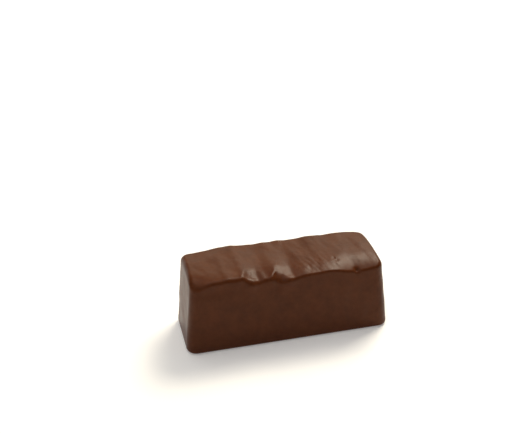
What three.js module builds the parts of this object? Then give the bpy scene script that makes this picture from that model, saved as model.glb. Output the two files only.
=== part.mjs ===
// A glazed candy bar: one block of filling under a milk-chocolate glaze. The glaze has set in cross folds on the
// top and in two lobes that roll over the shown long side.
// Millimetres, +Z up. X runs along the bar, the shown long side faces -Y, and the flat base lies on Z = 0.
import * as THREE from "three";
import { mergeVertices } from "three/addons/utils/BufferGeometryUtils.js";

const LENGTH = 45.2;
const WIDTH = 16.1;
const HEIGHT = 16.4;

const PLAN_RADIUS = 2.4;
const BASE_RADIUS = 0.9;
const RIM_RADIUS = { frontLeft: 0.8, frontRight: 0.35, back: 1.6, end: 1.1 };
const RIM_CHANGE = { from: -12, to: 12 };
const END_DRAFT = 1.6;
const SIDE_DRAFT = 0.2;
const CROWN = 0.12;
const LIFT_DEPTH = 6;

// The top is higher on the left. Its front edge steps down twice along X, and the sag behind it deepens.
const BACK_EDGE = { left: 0.92, right: 0.6 };
const FRONT_EDGE = { left: 0.75, middle: 0.1, right: -0.5 };
const FRONT_SAG = { left: 0.15, middle: 0.5, right: 1.25 };
const SAG_REACH = { left: 2.2, middle: 4.8, right: 6 };
const SAG_BEND = { left: 2, right: 1.8 };
const FIRST_STEP = { from: -10.2, to: -4.8 };
const SECOND_STEP = { from: -2.2, to: 1.6 };
const SAG_STEP = { from: 9, to: 14 };

const FOLDS = [
  { front: -13.4, back: -13.6, left: 0.8, right: 1.5, frontRise: 0.18, backRise: 0.04 },
  { front: -9.8, back: -9.9, left: 0.8, right: 1.8, frontRise: 0.16, backRise: 0.08 },
  { front: -2.4, back: -2.6, left: 1.5, right: 2.4, frontRise: 0.24, backRise: 0.12 },
  { front: 4.6, back: 2.6, left: 2.6, right: 7, frontRise: 0.5, backRise: 0 },
  { front: 8, back: 7.8, left: 1.8, right: 2.2, frontRise: 0, backRise: 0.3 },
  { front: 12.2, back: 14.4, left: 5, right: 7, frontRise: 0.5, backRise: 0.2 },
];

// Three corners of the top are sunk, the back left one with a steep edge, and one bump lies at the back.
const HOLLOWS = [
  { x: 0.8, y: 7.5, reachX: 1.4, reachY: 2.5, rise: 0.25, steepness: 1 },
  { x: -20.5, y: 8, reachX: 7, reachY: 5, rise: -0.62, steepness: 2.2 },
  { x: 20.8, y: 8.2, reachX: 3, reachY: 3.4, rise: -0.7, steepness: 1 },
  { x: -20.8, y: -8, reachX: 2.8, reachY: 2.3, rise: -1.7, steepness: 1 },
];

// Each lobe slopes evenly to the right and to the front, down to a valley whose far side rises again. The third
// facet cuts the second lobe off on its front left. Falls and rises are per millimetre.
const FACETS = [
  { x: -8.8, y: -4, level: 0.88, leftFall: 0.5, rightFall: 0.2, frontFall: 0.32, valley: -6.5, farRise: 0.6 },
  { x: -2.3, y: -4.6, level: 0.45, leftFall: 0.4, rightFall: 0.18, frontFall: 0.32, valley: 1, farRise: 0.5 },
  { x: -1.6, y: -6, level: -0.12, leftFall: 0.9, rightFall: -0.35, frontFall: 0.85, valley: 3, farRise: 0 },
];
const FACET_BLEND = 0.28;

// Lobes stand out from the shown long side, and notches lie beside them.
const LOBES = [
  { x: -8, z: 15.3, reachX: 1.3, reachZ: 1.6, out: 0.55 },
  { x: -0.4, z: 15, reachX: 1.6, reachZ: 1.7, out: 0.6 },
  { x: -9.9, z: 15, reachX: 0.8, reachZ: 2.4, out: -0.3 },
  { x: -2.6, z: 14.8, reachX: 0.9, reachZ: 1.8, out: -0.3 },
];
const LOBE_DEPTH = 2.5;

const GRID = { along: 72, across: 22, up: 14 };
const EDGE_SHARE = { x: 0.2, y: 0.5, z: 0.55 };

const halfLength = LENGTH / 2;
const halfWidth = WIDTH / 2;
const { clamp, lerp, smoothstep } = THREE.MathUtils;
const bell = (t) => Math.exp(-t * t);

// The lower of two heights, with the step between them rounded over the blend.
function softMin(a, b, blend) {
  const near = Math.max(1 - Math.abs(a - b) / blend, 0);
  return Math.min(a, b) - (near ** 3 * blend) / 6;
}

const softRamp = (t, blend) => -softMin(-t, 0, blend);

// Gathers the given share of the grid lines in the rounded zones at both ends of one axis.
function gathered(value, half, share) {
  const t = Math.abs(value) / half;
  const inner = half - PLAN_RADIUS;
  const isInner = t < 1 - share;
  const away = isInner ? (inner * t) / (1 - share) : inner + (PLAN_RADIUS * (t - 1 + share)) / share;
  return Math.sign(value) * away;
}

// The square corner of a depth-and-height pair becomes a quarter circle of radius r.
function rounded(depth, under, r) {
  const u = r - depth;
  const w = r - under;
  if (u <= 0 || w <= 0) return [depth, under];
  const k = Math.max(u, w) / Math.hypot(u, w);
  return [r - u * k, r - w * k];
}

// How far the top stands above HEIGHT at a place on the bar.
function topLift(x, y) {
  const v = y / halfWidth;
  const across = (v + 1) / 2;
  const first = smoothstep(x, FIRST_STEP.from, FIRST_STEP.to);
  const second = smoothstep(x, SECOND_STEP.from, SECOND_STEP.to);
  const sagStep = smoothstep(x, SAG_STEP.from, SAG_STEP.to);
  const front = lerp(lerp(FRONT_EDGE.left, FRONT_EDGE.middle, first), FRONT_EDGE.right, second);
  const back = lerp(BACK_EDGE.left, BACK_EDGE.right, first);
  const sag = lerp(lerp(FRONT_SAG.left, FRONT_SAG.middle, first), FRONT_SAG.right, sagStep);
  const reach = lerp(lerp(SAG_REACH.left, SAG_REACH.middle, first), SAG_REACH.right, sagStep);
  const edge = clamp(1 - (y + halfWidth) / reach, 0, 1) ** lerp(SAG_BEND.left, SAG_BEND.right, sagStep);
  let lift = lerp(front, back, across) + CROWN * (1 - v * v) - sag * edge;
  for (const fold of FOLDS) {
    const away = x - lerp(fold.front, fold.back, across);
    const width = away > 0 ? fold.right : fold.left;
    lift += lerp(fold.frontRise, fold.backRise, across) * bell(away / width);
  }
  for (const hollow of HOLLOWS) {
    const away = Math.hypot((x - hollow.x) / hollow.reachX, (y - hollow.y) / hollow.reachY);
    lift += hollow.rise * bell(away ** hollow.steepness);
  }
  for (const facet of FACETS) {
    lift = softMin(lift, facetHeight(facet, x, y), FACET_BLEND);
  }
  return lift;
}

function facetHeight(facet, x, y) {
  const left = facet.x - x;
  const beyond = softRamp(x - facet.valley, FACET_BLEND * 2);
  const plane = facet.level + facet.frontFall * (y - facet.y) + facet.rightFall * left;
  return (
    plane +
    facet.leftFall * softRamp(left, FACET_BLEND * 2) +
    (facet.rightFall + facet.farRise) * beyond
  );
}

// How far the shown long side stands out at a place on the bar.
function lobeOut(x, y, z) {
  const nearFront = smoothstep(-y, halfWidth - LOBE_DEPTH, halfWidth - BASE_RADIUS);
  let out = 0;
  for (const lobe of LOBES) {
    out += lobe.out * bell((x - lobe.x) / lobe.reachX) * bell((z - lobe.z) / lobe.reachZ);
  }
  return out * nearFront;
}

function formed(p) {
  let x = gathered(p.x, halfLength, EDGE_SHARE.x);
  let y = gathered(p.y, halfWidth, EDGE_SHARE.y);
  const height = HEIGHT / 2 + gathered(p.z, HEIGHT / 2, EDGE_SHARE.z);

  const coreX = clamp(x, PLAN_RADIUS - halfLength, halfLength - PLAN_RADIUS);
  const coreY = clamp(y, PLAN_RADIUS - halfWidth, halfWidth - PLAN_RADIUS);
  const out = new THREE.Vector2(x - coreX, y - coreY);
  const reach = Math.max(Math.abs(out.x), Math.abs(out.y));
  out.setLength(reach);
  const depth = PLAN_RADIUS - reach;
  const side = out.clone().normalize();

  const rimChange = smoothstep(x, RIM_CHANGE.from, RIM_CHANGE.to);
  const rim =
    Math.max(-side.y, 0) ** 2 * lerp(RIM_RADIUS.frontLeft, RIM_RADIUS.frontRight, rimChange) +
    Math.max(side.y, 0) ** 2 * RIM_RADIUS.back +
    side.x ** 2 * RIM_RADIUS.end;
  const isTop = height > HEIGHT / 2;
  const [inset, under] = isTop
    ? rounded(depth, HEIGHT - height, rim)
    : rounded(depth, height, BASE_RADIUS);
  x = coreX + out.x - side.x * (inset - depth);
  y = coreY + out.y - side.y * (inset - depth);
  let z = isTop ? HEIGHT - under : under;

  const up = z / HEIGHT;
  x *= 1 - (END_DRAFT * up) / halfLength;
  y *= 1 - (SIDE_DRAFT * up) / halfWidth;
  z += topLift(x, y) * smoothstep(z, HEIGHT - LIFT_DEPTH, HEIGHT);
  y -= lobeOut(x, y, z);
  return p.set(x, y, z);
}

function candyGeometry() {
  const box = new THREE.BoxGeometry(LENGTH, WIDTH, HEIGHT, GRID.along, GRID.across, GRID.up);
  box.deleteAttribute("normal");
  box.deleteAttribute("uv");
  const geometry = mergeVertices(box);
  const place = geometry.getAttribute("position");
  const point = new THREE.Vector3();
  for (let i = 0; i < place.count; i += 1) {
    formed(point.fromBufferAttribute(place, i));
    place.setXYZ(i, point.x, point.y, point.z);
  }
  geometry.computeVertexNormals();
  return geometry;
}

const milkChocolate = new THREE.MeshStandardMaterial({ color: 0x6a4028, roughness: 0.4, metalness: 0 });
const candy = new THREE.Mesh(candyGeometry(), milkChocolate);
candy.name = "glazed_candy";

const part = new THREE.Group();
part.add(candy);
export default part;
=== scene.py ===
# A chocolate-glazed candy bar on a pale table. Sizes in the dictionaries are millimetres, turns are degrees.
import math
import bmesh
import bpy
from mathutils import Matrix, Vector


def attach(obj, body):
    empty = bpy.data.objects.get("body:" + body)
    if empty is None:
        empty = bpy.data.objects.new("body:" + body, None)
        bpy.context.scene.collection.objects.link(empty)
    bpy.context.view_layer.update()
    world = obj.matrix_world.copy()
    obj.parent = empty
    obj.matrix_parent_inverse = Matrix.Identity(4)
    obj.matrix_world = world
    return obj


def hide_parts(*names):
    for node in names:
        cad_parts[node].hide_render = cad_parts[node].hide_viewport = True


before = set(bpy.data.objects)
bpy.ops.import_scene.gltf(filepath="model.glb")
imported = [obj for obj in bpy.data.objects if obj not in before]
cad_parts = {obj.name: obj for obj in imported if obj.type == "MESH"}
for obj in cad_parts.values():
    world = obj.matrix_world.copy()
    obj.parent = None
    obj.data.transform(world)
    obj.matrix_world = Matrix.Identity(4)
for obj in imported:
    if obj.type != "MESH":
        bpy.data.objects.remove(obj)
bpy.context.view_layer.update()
mm = 0.001
tiny = 1e-6


def srgb(hexCode):
    channels = [int(hexCode[i:i + 2], 16) / 255 for i in (1, 3, 5)]
    linear = [c / 12.92 if c <= 0.04045 else ((c + 0.055) / 1.055) ** 2.4 for c in channels]
    return (*linear, 1)


def addNode(tree, kind, settings=None, inputs=None):
    node = tree.nodes.new(kind)
    for name, value in (settings or {}).items():
        setattr(node, name, value)
    for name, value in (inputs or {}).items():
        if isinstance(value, bpy.types.Node):
            value = value.outputs[0]
        if isinstance(value, bpy.types.NodeSocket):
            tree.links.new(value, node.inputs[name])
        else:
            node.inputs[name].default_value = value
    return node


# The blank is the block of filling with the slow rise and fall of its top, before any fold is laid on it.
blank = {
    "length": 45, "width": 15.87, "height": 16.3,
    "planRadius": 2.35, "baseRadius": 0.9, "endDraft": 1.6, "sideDraft": 0.2,
    # The front rim grows sharper from left to right.
    "rimFront": 0.85, "rimFrontRight": 0.35, "rimFrom": -12, "rimTo": 12, "rimBack": 1.6, "rimEnd": 1.1,
    # How far the edges of the top stand above the height, and where along X that changes.
    "leftFront": 0.75, "middleFront": 0.1, "rightFront": -0.5, "leftBack": 0.92, "rightBack": 0.58,
    "stepFrom": -10.2, "stepTo": -4.8, "slopeFrom": -2.2, "slopeTo": 1.6,
    "crown": 0.12, "liftDepth": 6.0,
    # The top sags along its front edge: how deep, over what reach, and how sharply it bends.
    "leftSag": 0.15, "middleSag": 0.5, "rightSag": 1.33, "sagFrom": 9, "sagTo": 14,
    "leftReach": 2.2, "middleReach": 4.8, "rightReach": 6.0, "leftBend": 2, "rightBend": 2.05,
    # Cuts along X, Y and Z. For each, the length of the end zones and the share of the cuts in them.
    "cuts": (229, 79, 75), "endZones": ((3.0, 0.2), (3.2, 0.5), (3.4, 0.45)),
}


def clamp(value, low, high):
    return max(low, min(high, value))


def mix(low, high, t):
    return low + (high - low) * t


def smoothStep(value, low, high):
    t = clamp((value - low) / (high - low), 0, 1)
    return t * t * (3 - 2 * t)


def gathered(t, half, zone, share):
    away = abs(t)
    inner = 1 - share
    moved = (half - zone) * away / inner if away < inner else half - zone + zone * (away - inner) / share
    return math.copysign(moved, t)


def roundedCorner(depth, under, radius):
    u, w = radius - depth, radius - under
    if u <= 0 or w <= 0:
        return depth, under
    k = max(u, w) / math.hypot(u, w)
    return radius - u * k, radius - w * k


def topLift(x, y):
    v = y / blank["width"] * 2
    pastStep = smoothStep(x, blank["stepFrom"], blank["stepTo"])
    pastSlope = smoothStep(x, blank["slopeFrom"], blank["slopeTo"])
    front = mix(mix(blank["leftFront"], blank["middleFront"], pastStep), blank["rightFront"], pastSlope)
    back = mix(blank["leftBack"], blank["rightBack"], pastStep)
    inSag = smoothStep(x, blank["sagFrom"], blank["sagTo"])
    sag = mix(mix(blank["leftSag"], blank["middleSag"], pastStep), blank["rightSag"], inSag)
    reach = mix(mix(blank["leftReach"], blank["middleReach"], pastStep), blank["rightReach"], inSag)
    bend = mix(blank["leftBend"], blank["rightBend"], inSag)
    edge = clamp(1 - (y + blank["width"] / 2) / reach, 0, 1) ** bend
    return mix(front, back, (v + 1) / 2) + blank["crown"] * (1 - v * v) - sag * edge


# Bends a point of a cube that reaches from -1 to 1 onto the blank, and says how far the top is lifted there.
def blankPoint(cubePoint):
    r = blank["planRadius"]
    a, b, top = blank["length"] / 2, blank["width"] / 2, blank["height"]
    halves = (a, b, top / 2)
    x, y, z = (gathered(t, half, *zone) for t, half, zone in zip(cubePoint, halves, blank["endZones"]))
    z += top / 2
    core = Vector((clamp(x, r - a, a - r), clamp(y, r - b, b - r)))
    out = Vector((x, y)) - core
    if out.length > 0:
        out *= max(abs(out.x), abs(out.y)) / out.length
    x, y = core + out

    over = Vector((abs(x) - a + r, abs(y) - b + r))
    past = Vector((max(over.x, 0), max(over.y, 0)))
    depth = r - past.length - min(max(over), 0)
    side = past.normalized() if past.length > tiny else Vector((over.x > over.y, over.y >= over.x))
    side = Vector((math.copysign(side.x, x), math.copysign(side.y, y)))
    onRight = smoothStep(x, blank["rimFrom"], blank["rimTo"])
    rimFront = mix(blank["rimFront"], blank["rimFrontRight"], onRight)
    rim = (max(-side.y, 0) ** 2 * rimFront + max(side.y, 0) ** 2 * blank["rimBack"]
           + side.x ** 2 * blank["rimEnd"])
    if z > top / 2:
        inset, under = roundedCorner(depth, top - z, rim)
        z = top - under
    else:
        inset, z = roundedCorner(depth, z, blank["baseRadius"])
    x -= side.x * (inset - depth)
    y -= side.y * (inset - depth)
    x *= 1 - blank["endDraft"] * z / top / a
    y *= 1 - blank["sideDraft"] * z / top / b
    lift = topLift(x, y)
    z += lift * smoothStep(z, top - blank["liftDepth"], top)
    return Vector((x, y, z)) * mm, lift


def makeBlank():
    bm = bmesh.new()
    cubeSize = 2
    bmesh.ops.create_cube(bm, size=cubeSize)
    for axis, cuts in enumerate(blank["cuts"]):
        along = [e for e in bm.edges if abs(e.verts[0].co[axis] - e.verts[1].co[axis]) > cubeSize / 2]
        bmesh.ops.subdivide_edges(bm, edges=along, cuts=cuts, use_grid_fill=True)
    liftLayer = bm.verts.layers.float.new("lift")  # the glaze reads it and takes it off again
    for vert in bm.verts:
        vert.co, vert[liftLayer] = blankPoint(vert.co)
    bmesh.ops.recalc_face_normals(bm, faces=bm.faces)
    mesh = bpy.data.meshes.new("blank")
    bm.to_mesh(mesh)
    bm.free()
    piece = bpy.data.objects.new("blank", mesh)
    bpy.context.collection.objects.link(piece)
    return piece


# The bloom lies in patches. The browns and the satin roughness each run between two values of its pattern.
chocolate = {
    "patchSize": 3.85, "patchDetail": 7, "patchRoughness": 0.7,
    "browns": ((0.28, "#4b2410"), (0.72, "#5b3018")),
    "satin": ((0.3, 0.3), (0.7, 0.4)),
    "ior": 1.46, "specular": 0.135, "specularTint": (1.0, 0.95, 0.88, 1.0),
    "depth": 0.8, "depthShare": 0.12, "depthColour": (1.0, 0.4, 0.2),
}


def milkChocolate():
    # Milk chocolate, poured over the block in a curtain and cooled: even brown, a satin skin that keeps the
    # ripples of the flow, and a faint bloom. A little light goes into it.
    material = bpy.data.materials.new("milkChocolateGlaze")
    material.use_nodes = True
    tree = material.node_tree
    tree.nodes.clear()
    place = addNode(tree, "ShaderNodeTexCoord")
    patches = addNode(tree, "ShaderNodeTexNoise", {}, {
        "Vector": place.outputs["Object"], "Scale": 1 / (chocolate["patchSize"] * mm),
        "Detail": chocolate["patchDetail"], "Roughness": chocolate["patchRoughness"]})
    tone = addNode(tree, "ShaderNodeValToRGB", {}, {"Fac": patches.outputs["Fac"]})
    for stop, (position, brown) in zip(tone.color_ramp.elements, chocolate["browns"]):
        stop.position = position
        stop.color = srgb(brown)
    (low, smoothest), (high, roughest) = chocolate["satin"]
    gloss = addNode(tree, "ShaderNodeMapRange", {}, {
        "Value": patches.outputs["Fac"], "From Min": low, "From Max": high,
        "To Min": smoothest, "To Max": roughest})
    shader = addNode(tree, "ShaderNodeBsdfPrincipled", {}, {
        "Base Color": tone.outputs["Color"], "Roughness": gloss, "IOR": chocolate["ior"],
        "Specular IOR Level": chocolate["specular"], "Specular Tint": chocolate["specularTint"],
        "Subsurface Weight": chocolate["depthShare"], "Subsurface Radius": chocolate["depthColour"],
        "Subsurface Scale": chocolate["depth"] * mm})
    addNode(tree, "ShaderNodeOutputMaterial", {}, {"Surface": shader})
    return material


# Folds cross the top. Their left flanks are short and steep, most of their right flanks long.
foldParts = ("Front X", "Back X", "Left Width", "Right Width", "Front Rise", "Back Rise")
folds = {
    "first": (-13.4, -13.6, 0.8, 1.5, 0.18, 0.04),
    "above the first lobe": (-9.8, -9.9, 0.8, 1.8, 0.16, 0.08),
    "above the second lobe": (-2.4, -2.6, 1.5, 2.4, 0.24, 0.12),
    "at the back": (8.0, 7.8, 1.8, 2.2, 0.0, 0.3),
    "right of the second lobe": (4.6, 2.6, 2.6, 7.0, 0.5, 0.0),
    "broad right one": (12.2, 14.4, 5.0, 8.5, 0.5, 0.2),
}

# Facets cut the top off. Each lobe slopes evenly to the right and to the front, down to a valley whose far
# side rises again, and a third facet bevels the front of the second lobe. Falls and rises are per millimetre.
facetParts = ("Start X", "Start Y", "Level", "Left Fall", "Right Fall", "Front Fall", "Valley X", "Far Rise")
facets = {
    "first lobe": (-8.6, -4.0, 0.86, 0.55, 0.2, 0.32, -6.4, 0.6),
    "second lobe": (-2.3, -4.6, 0.45, 0.4, 0.18, 0.32, 1.0, 0.5),
    "front of the second lobe": (-1.6, -6.0, -0.12, 0.9, -0.35, 0.85, 3.0, 0.0),
}
facetBlend = {"rim": 0.45, "crest": 0.9, "valley": 0.9}

# Hollows press the top straight down and, with a positive rise, lift it: centre, reach each way, turn about
# Z, rise, steepness of the edge.
hollows = {
    "back of the second fold": ((0.8, 7.5, 16.3), (1.4, 2.5, 9.0), 0, 0.25, 1),
    "sunk left corner": ((-20.5, 8.0, 16.3), (7.0, 5.0, 9.0), 0, -0.62, 1.6),
    "sunk right corner": ((20.8, 8.2, 16.3), (3.0, 3.4, 9.0), 0, -0.7, 1),
    "sunk front corner": ((-20.8, -8.0, 16.3), (2.8, 2.3, 9.0), 0, -1.7, 1),
    "raised front corner": ((19.8, -8.0, 16.3), (2.8, 3.8, 9.0), 0, 0.6, 1),
}

# Dabs are single bumps and, with a negative rise, dents, along the surface's own normal.
dabs = {
    "nose of the first lobe": ((-8.0, -8.3, 15.3), (1.3, 1.5, 1.5), 0, 0.6, 1),
    "nose of the second lobe": ((-0.4, -8.3, 15.0), (1.6, 1.5, 1.6), -25, 0.6, 1),
    "crease on the first lobe": ((-7.7, -6.0, 16.3), (0.35, 1.2, 1.5), -20, -0.06, 1),
    "crease on the second lobe": ((-0.7, -6.0, 16.0), (0.35, 1.4, 1.5), -50, 0.05, 1),
    "small lobe": ((-3.5, -6.5, 16.3), (0.4, 1.2, 1.5), -35, 0.12, 1),
    "gap beside the small lobe": ((-2.7, -6.6, 16.3), (0.5, 0.9, 1.5), -20, -0.2, 1),
    "notch under the first lobe": ((-9.9, -8.3, 15.0), (0.8, 1.3, 2.4), 0, -0.35, 1),
    "notch under the second lobe": ((-2.6, -8.2, 14.8), (0.9, 1.3, 1.8), 0, -0.35, 1),
    "groove under the left rim": ((-17.5, -8.2, 14.7), (5.0, 2.0, 1.4), 0, -0.32, 1),
    "pit in the rim": ((14.8, -7.5, 15.2), (0.5, 0.6, 0.6), 0, -0.5, 1),
    "pin hole": ((10.8, -3.8, 16.8), (0.28, 0.35, 1.0), 0, -0.12, 1),
    "second pin hole": ((11.3, -4.5, 16.8), (0.35, 0.4, 1.0), 0, -0.12, 1),
    "spot by the pin holes": ((11.0, -5.8, 16.7), (0.3, 0.6, 1.0), 15, 0.06, 1),
}


def groupOf(name, inputs, outputs):
    group = bpy.data.node_groups.new(name, "GeometryNodeTree")
    for label, kind in inputs.items():
        group.interface.new_socket(label, in_out="INPUT", socket_type="NodeSocket" + kind)
    for label, kind in outputs.items():
        group.interface.new_socket(label, in_out="OUTPUT", socket_type="NodeSocket" + kind)
    return group


# A bell across X whose crest, widths and rise change from the front edge to the back edge.
def foldGroup():
    group = groupOf("crossFold", dict.fromkeys(("X", "Across", *foldParts), "Float"), {"Height": "Float"})
    given = addNode(group, "NodeGroupInput").outputs
    across = given["Across"]
    crest = addNode(group, "ShaderNodeMapRange", {}, {
        "Value": across, "To Min": given["Front X"], "To Max": given["Back X"]})
    rise = addNode(group, "ShaderNodeMapRange", {}, {
        "Value": across, "To Min": given["Front Rise"], "To Max": given["Back Rise"]})
    away = addNode(group, "ShaderNodeMath", {"operation": "SUBTRACT"}, {0: given["X"], 1: crest})
    onRight = addNode(group, "ShaderNodeMath", {"operation": "GREATER_THAN"}, {0: away, 1: 0.0})
    width = addNode(group, "ShaderNodeMapRange", {}, {
        "Value": onRight, "To Min": given["Left Width"], "To Max": given["Right Width"]})
    share = addNode(group, "ShaderNodeMath", {"operation": "DIVIDE"}, {0: away, 1: width})
    squared = addNode(group, "ShaderNodeMath", {"operation": "MULTIPLY"}, {0: share, 1: share})
    falling = addNode(group, "ShaderNodeMath", {"operation": "MULTIPLY"}, {0: squared, 1: -1.0})
    bell = addNode(group, "ShaderNodeMath", {"operation": "EXPONENT"}, {0: falling})
    height = addNode(group, "ShaderNodeMath", {"operation": "MULTIPLY"}, {0: bell, 1: rise})
    addNode(group, "NodeGroupOutput", {}, {"Height": height})
    return group


# The lower of the given height and a plane that bends down left of its start and up beyond its valley.
def facetGroup():
    group = groupOf("facet", dict.fromkeys(("X", "Y", "Height", *facetParts), "Float"), {"Height": "Float"})
    given = addNode(group, "NodeGroupInput").outputs
    behind = addNode(group, "ShaderNodeMath", {"operation": "SUBTRACT"}, {
        0: given["Y"], 1: given["Start Y"]})
    left = addNode(group, "ShaderNodeMath", {"operation": "SUBTRACT"}, {
        0: given["Start X"], 1: given["X"]})
    beyond = addNode(group, "ShaderNodeMath", {"operation": "SUBTRACT"}, {
        0: given["X"], 1: given["Valley X"]})
    pastValley = addNode(group, "ShaderNodeMath", {"operation": "SMOOTH_MAX"}, {
        0: beyond, 1: 0.0, 2: facetBlend["valley"]})
    pastCrest = addNode(group, "ShaderNodeMath", {"operation": "SMOOTH_MAX"}, {
        0: left, 1: 0.0, 2: facetBlend["crest"]})
    bend = addNode(group, "ShaderNodeMath", {"operation": "ADD"}, {
        0: given["Right Fall"], 1: given["Far Rise"]})
    plane = given["Level"]
    for distance, slope in (
            (behind, given["Front Fall"]), (left, given["Right Fall"]),
            (pastValley, bend), (pastCrest, given["Left Fall"])):
        plane = addNode(group, "ShaderNodeMath", {"operation": "MULTIPLY_ADD"}, {
            0: distance, 1: slope, 2: plane})
    lower = addNode(group, "ShaderNodeMath", {"operation": "SMOOTH_MIN"}, {
        0: given["Height"], 1: plane, 2: facetBlend["rim"]})
    addNode(group, "NodeGroupOutput", {}, {"Height": lower})
    return group


# A bell round a point, drawn out by its reach each way and turned about Z.
def dabGroup():
    group = groupOf("dab", {"Place": "Vector", "Centre": "Vector", "Reach": "Vector", "Turn": "Float",
                            "Rise": "Float", "Steepness": "Float"}, {"Height": "Float"})
    given = addNode(group, "NodeGroupInput").outputs
    away = addNode(group, "ShaderNodeVectorMath", {"operation": "SUBTRACT"}, {
        0: given["Place"], 1: given["Centre"]})
    turned = addNode(group, "ShaderNodeVectorRotate", {"rotation_type": "Z_AXIS", "invert": True}, {
        "Vector": away, "Angle": given["Turn"]})
    share = addNode(group, "ShaderNodeVectorMath", {"operation": "DIVIDE"}, {0: turned, 1: given["Reach"]})
    squared = addNode(group, "ShaderNodeVectorMath", {"operation": "DOT_PRODUCT"}, {0: share, 1: share})
    steep = addNode(group, "ShaderNodeMath", {"operation": "POWER"}, {
        0: squared.outputs["Value"], 1: given["Steepness"]})
    falling = addNode(group, "ShaderNodeMath", {"operation": "MULTIPLY"}, {0: steep, 1: -1.0})
    bell = addNode(group, "ShaderNodeMath", {"operation": "EXPONENT"}, {0: falling})
    height = addNode(group, "ShaderNodeMath", {"operation": "MULTIPLY"}, {0: bell, 1: given["Rise"]})
    addNode(group, "NodeGroupOutput", {}, {"Height": height})
    return group


def addDabs(tree, dab, marks, place, height):
    for centre, reach, turn, rise, steepness in marks.values():
        one = addNode(tree, "GeometryNodeGroup", {"node_tree": dab}, {
            "Place": place, "Centre": centre, "Reach": reach, "Turn": math.radians(turn), "Rise": rise,
            "Steepness": steepness})
        height = addNode(tree, "ShaderNodeMath", {"operation": "ADD"}, {0: height, 1: one})
    return height


glaze = {
    "Fold Depth": blank["liftDepth"], "Smooth Below": 0.2, "Rippled Above": 2.0,
    "Ripple Height": 0.2, "Ripple Length": 2.2, "Swell Height": 0.3, "Swell Length": 6.0,
    "Grain Height": 0.03, "Grain Length": 0.7, "Scuff Height": 0.15, "Scuff Length": 0.6,
}
# How each noise is drawn out: ripples run across the bar, scuffs lie aslant in one patch of the top.
drawnOut = {
    "Ripple": {"turn": -9, "stretch": (1.0, 0.4, 0.5)},
    "Swell": {"turn": -6, "stretch": (1.0, 0.6, 0.6)},
    "Grain": {"turn": 0, "stretch": (1.0, 0.7, 0.8)},
    "Scuff": {"turn": -16, "stretch": (1.0, 0.2, 1.0), "patch": ((5.6, -4.6, 16.3), (3.2, 3.0, 3.0))},
}


# Raises the upper part of the blank by what the folds, hollows and facets add to its own lift.
def foldTop(tree, given, inMm, point, dab):
    across = addNode(tree, "ShaderNodeMapRange", {}, {
        "Value": point["Y"], "From Min": -blank["width"] / 2, "From Max": blank["width"] / 2})
    stored = addNode(tree, "GeometryNodeInputNamedAttribute", {"data_type": "FLOAT"}, {"Name": "lift"})
    blankLift = stored.outputs["Attribute"]
    height = blankLift
    crossFold = foldGroup()
    for fold in folds.values():
        one = addNode(tree, "GeometryNodeGroup", {"node_tree": crossFold}, {
            "X": point["X"], "Across": across, **dict(zip(foldParts, fold))})
        height = addNode(tree, "ShaderNodeMath", {"operation": "ADD"}, {0: height, 1: one})
    height = addDabs(tree, dab, hollows, inMm, height)
    cut = facetGroup()
    for facet in facets.values():
        height = addNode(tree, "GeometryNodeGroup", {"node_tree": cut}, {
            "X": point["X"], "Y": point["Y"], "Height": height, **dict(zip(facetParts, facet))})
    added = addNode(tree, "ShaderNodeMath", {"operation": "SUBTRACT"}, {0: height, 1: blankLift})
    lowest = addNode(tree, "ShaderNodeMath", {"operation": "SUBTRACT"}, {
        0: blank["height"], 1: given["Fold Depth"]})
    lift = addNode(tree, "ShaderNodeMapRange", {"interpolation_type": "SMOOTHSTEP"}, {
        "Value": point["Z"], "From Min": lowest, "From Max": blank["height"], "To Max": added})
    raised = addNode(tree, "ShaderNodeCombineXYZ", {}, {"Z": lift})
    raisedM = addNode(tree, "ShaderNodeVectorMath", {"operation": "SCALE"}, {0: raised, "Scale": mm})
    return addNode(tree, "GeometryNodeSetPosition", {}, {"Geometry": given["Geometry"], "Offset": raisedM})


# Moves the skin outward by the dabs and the noises, except close to the base.
def ruffleSkin(tree, given, inMm, point, dab, folded):
    height = addDabs(tree, dab, dabs, inMm, 0.0)
    for kind, noise in drawnOut.items():
        turned = addNode(tree, "ShaderNodeVectorRotate", {"rotation_type": "Z_AXIS"},
                         {"Vector": inMm, "Angle": math.radians(noise["turn"])})
        drawn = addNode(tree, "ShaderNodeVectorMath", {"operation": "MULTIPLY"}, {
            0: turned, 1: noise["stretch"]})
        scale = addNode(tree, "ShaderNodeMath", {"operation": "DIVIDE"}, {
            0: 1.0, 1: given[kind + " Length"]})
        waves = addNode(tree, "ShaderNodeTexNoise", {}, {"Vector": drawn, "Scale": scale, "Detail": 1.0})
        centred = addNode(tree, "ShaderNodeMath", {"operation": "SUBTRACT"}, {0: waves, 1: 0.5})
        rise = given[kind + " Height"]
        if "patch" in noise:
            centre, reach = noise["patch"]
            rise = addNode(tree, "GeometryNodeGroup", {"node_tree": dab}, {
                "Place": inMm, "Centre": centre, "Reach": reach, "Rise": rise, "Steepness": 1})
        height = addNode(tree, "ShaderNodeMath", {"operation": "MULTIPLY_ADD"}, {
            0: centred, 1: rise, 2: height})
    aboveBase = addNode(tree, "ShaderNodeMapRange", {"interpolation_type": "SMOOTHSTEP"}, {
        "Value": point["Z"], "From Min": given["Smooth Below"], "From Max": given["Rippled Above"],
        "To Max": height})
    outward = addNode(tree, "ShaderNodeVectorMath", {"operation": "SCALE"},
                      {0: addNode(tree, "GeometryNodeInputNormal"), "Scale": aboveBase})
    outwardM = addNode(tree, "ShaderNodeVectorMath", {"operation": "SCALE"}, {0: outward, "Scale": mm})
    return addNode(tree, "GeometryNodeSetPosition", {}, {"Geometry": folded, "Offset": outwardM})


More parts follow.
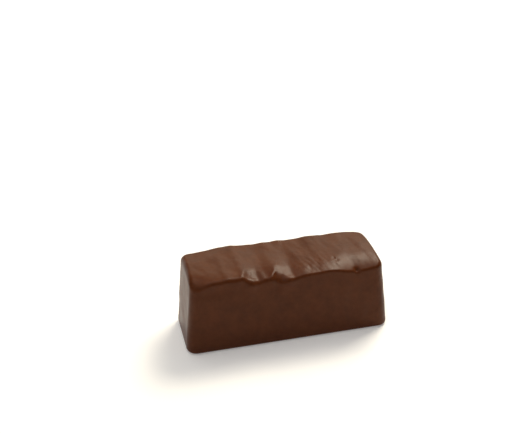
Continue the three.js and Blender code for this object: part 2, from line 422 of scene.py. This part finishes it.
def glazeTree(material):
    shape = {"Geometry": "Geometry"}
    tree = groupOf("glaze", {**shape, **dict.fromkeys(glaze, "Float")}, shape)
    given = addNode(tree, "NodeGroupInput").outputs
    place = addNode(tree, "GeometryNodeInputPosition")
    inMm = addNode(tree, "ShaderNodeVectorMath", {"operation": "SCALE"}, {0: place, "Scale": 1 / mm})
    point = addNode(tree, "ShaderNodeSeparateXYZ", {}, {0: inMm}).outputs
    dab = dabGroup()
    folded = foldTop(tree, given, inMm, point, dab)
    ruffled = ruffleSkin(tree, given, inMm, point, dab, folded)
    plain = addNode(tree, "GeometryNodeRemoveAttribute", {}, {"Geometry": ruffled, "Name": "lift"})
    smooth = addNode(tree, "GeometryNodeSetShadeSmooth", {}, {"Geometry": plain})
    real = addNode(tree, "GeometryNodeRealizeInstances", {}, {"Geometry": smooth})
    coated = addNode(tree, "GeometryNodeSetMaterial", {}, {"Geometry": real, "Material": material})
    addNode(tree, "NodeGroupOutput", {}, {"Geometry": coated})
    return tree


def layGlaze(piece, name, material):
    modifier = piece.modifiers.new("glaze", "NODES")
    modifier.node_group = glazeTree(material)
    for item in modifier.node_group.interface.items_tree:
        if item.in_out == "INPUT" and item.name in glaze:
            modifier[item.identifier] = glaze[item.name]
    evaluated = piece.evaluated_get(bpy.context.evaluated_depsgraph_get())
    mesh = bpy.data.meshes.new_from_object(evaluated)
    mesh.name = name
    bpy.data.objects.remove(piece)
    candy = bpy.data.objects.new(name, mesh)
    bpy.context.collection.objects.link(candy)
    return candy


candy = layGlaze(makeBlank(), "glazedCandy", milkChocolate())
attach(candy, "root")
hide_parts("glazed_candy")
print("candy:", len(candy.data.polygons), "faces")

table = {"side": 3000, "colour": "#f3f2f0", "roughness": 0.9, "specular": 0.1, "glow": 0.25}


def makeTable():
    mesh = bpy.data.meshes.new("table")
    bm = bmesh.new()
    bmesh.ops.create_grid(bm, x_segments=1, y_segments=1, size=table["side"] / 2 * mm)
    bm.to_mesh(mesh)
    bm.free()
    plane = bpy.data.objects.new("table", mesh)
    bpy.context.collection.objects.link(plane)
    # Uncoated paper, pale and without gloss. It is over-exposed, and its glow lightens the candy's shadow.
    material = bpy.data.materials.new("paleMattPaper")
    material.use_nodes = True
    shader = material.node_tree.nodes["Principled BSDF"]
    shader.inputs["Base Color"].default_value = srgb(table["colour"])
    shader.inputs["Roughness"].default_value = table["roughness"]
    shader.inputs["Specular IOR Level"].default_value = table["specular"]
    shader.inputs["Emission Color"].default_value = srgb(table["colour"])
    shader.inputs["Emission Strength"].default_value = table["glow"]
    mesh.materials.append(material)


# Azimuth turns from +Y towards +X, and elevation rises from the table.
softboxes = {
    "key": {"azimuth": 46, "elevation": 51, "distance": 700, "across": 320, "deep": 300, "watts": 4.8,
            "colour": (1, 0.93, 0.78)},
    "overhead": {"azimuth": -40, "elevation": 80, "distance": 900, "across": 700, "deep": 700, "watts": 3.0,
                 "colour": (1, 0.96, 0.92)},
    "frontFill": {"azimuth": -135, "elevation": 45, "distance": 900, "across": 700, "deep": 700, "watts": 1.1,
                  "colour": (1, 0.99, 0.98)},
    "backGlow": {"azimuth": 20, "elevation": 26, "distance": 900, "across": 900, "deep": 330, "watts": 1.5,
                 "colour": (1, 0.94, 0.73)},
    "backLeft": {"azimuth": -30, "elevation": 12, "distance": 900, "across": 500, "deep": 160, "watts": 0.5,
                 "colour": (1, 0.95, 0.85)},
}


def makeSoftboxes():
    for name, box in softboxes.items():
        light = bpy.data.lights.new(name, "AREA")
        light.shape = "RECTANGLE"
        light.size = box["across"] * mm
        light.size_y = box["deep"] * mm
        light.energy = box["watts"]
        light.color = box["colour"]
        lamp = bpy.data.objects.new(name, light)
        bpy.context.collection.objects.link(lamp)
        a, e = math.radians(box["azimuth"]), math.radians(box["elevation"])
        toward = Vector((math.sin(a) * math.cos(e), math.cos(a) * math.cos(e), math.sin(e)))
        lamp.location = toward * box["distance"] * mm
        lamp.rotation_euler = toward.to_track_quat("Z", "Y").to_euler()


# The room adds little light, but looks almost white behind the table.
room = {"colour": "#f5f6f7", "light": 0.035, "look": 0.97}


def makeRoom():
    world = bpy.data.worlds.new("studio")
    world.use_nodes = True
    sky = world.node_tree
    toCamera = addNode(sky, "ShaderNodeLightPath").outputs["Is Camera Ray"]
    strength = addNode(sky, "ShaderNodeMapRange", {}, {
        "Value": toCamera, "To Min": room["light"], "To Max": room["look"]})
    shade = sky.nodes["Background"]
    shade.inputs["Color"].default_value = srgb(room["colour"])
    sky.links.new(strength.outputs[0], shade.inputs["Strength"])
    bpy.context.scene.world = world


viewpoint = {
    "place": (-40.5, -157.9, 108.4), "turn": -12.6, "pitch": 26.74, "roll": -1.5,
    "lens": 60.9, "sensor": 36, "nearest": 5,
}


def makeCamera():
    data = bpy.data.cameras.new("camera")
    data.lens = viewpoint["lens"]
    data.sensor_width = viewpoint["sensor"]
    data.clip_start = viewpoint["nearest"] * mm
    camera = bpy.data.objects.new("camera", data)
    bpy.context.collection.objects.link(camera)
    turn = Matrix.Rotation(math.radians(viewpoint["turn"]), 4, "Z")
    tilt = Matrix.Rotation(math.radians(90 - viewpoint["pitch"]), 4, "X")
    roll = Matrix.Rotation(math.radians(viewpoint["roll"]), 4, "Z")
    camera.matrix_world = Matrix.Translation(Vector(viewpoint["place"]) * mm) @ turn @ tilt @ roll
    bpy.context.scene.camera = camera


makeTable()
makeSoftboxes()
makeRoom()
makeCamera()
bpy.context.scene.view_settings.view_transform = "Standard"
print("table, light and camera are set")
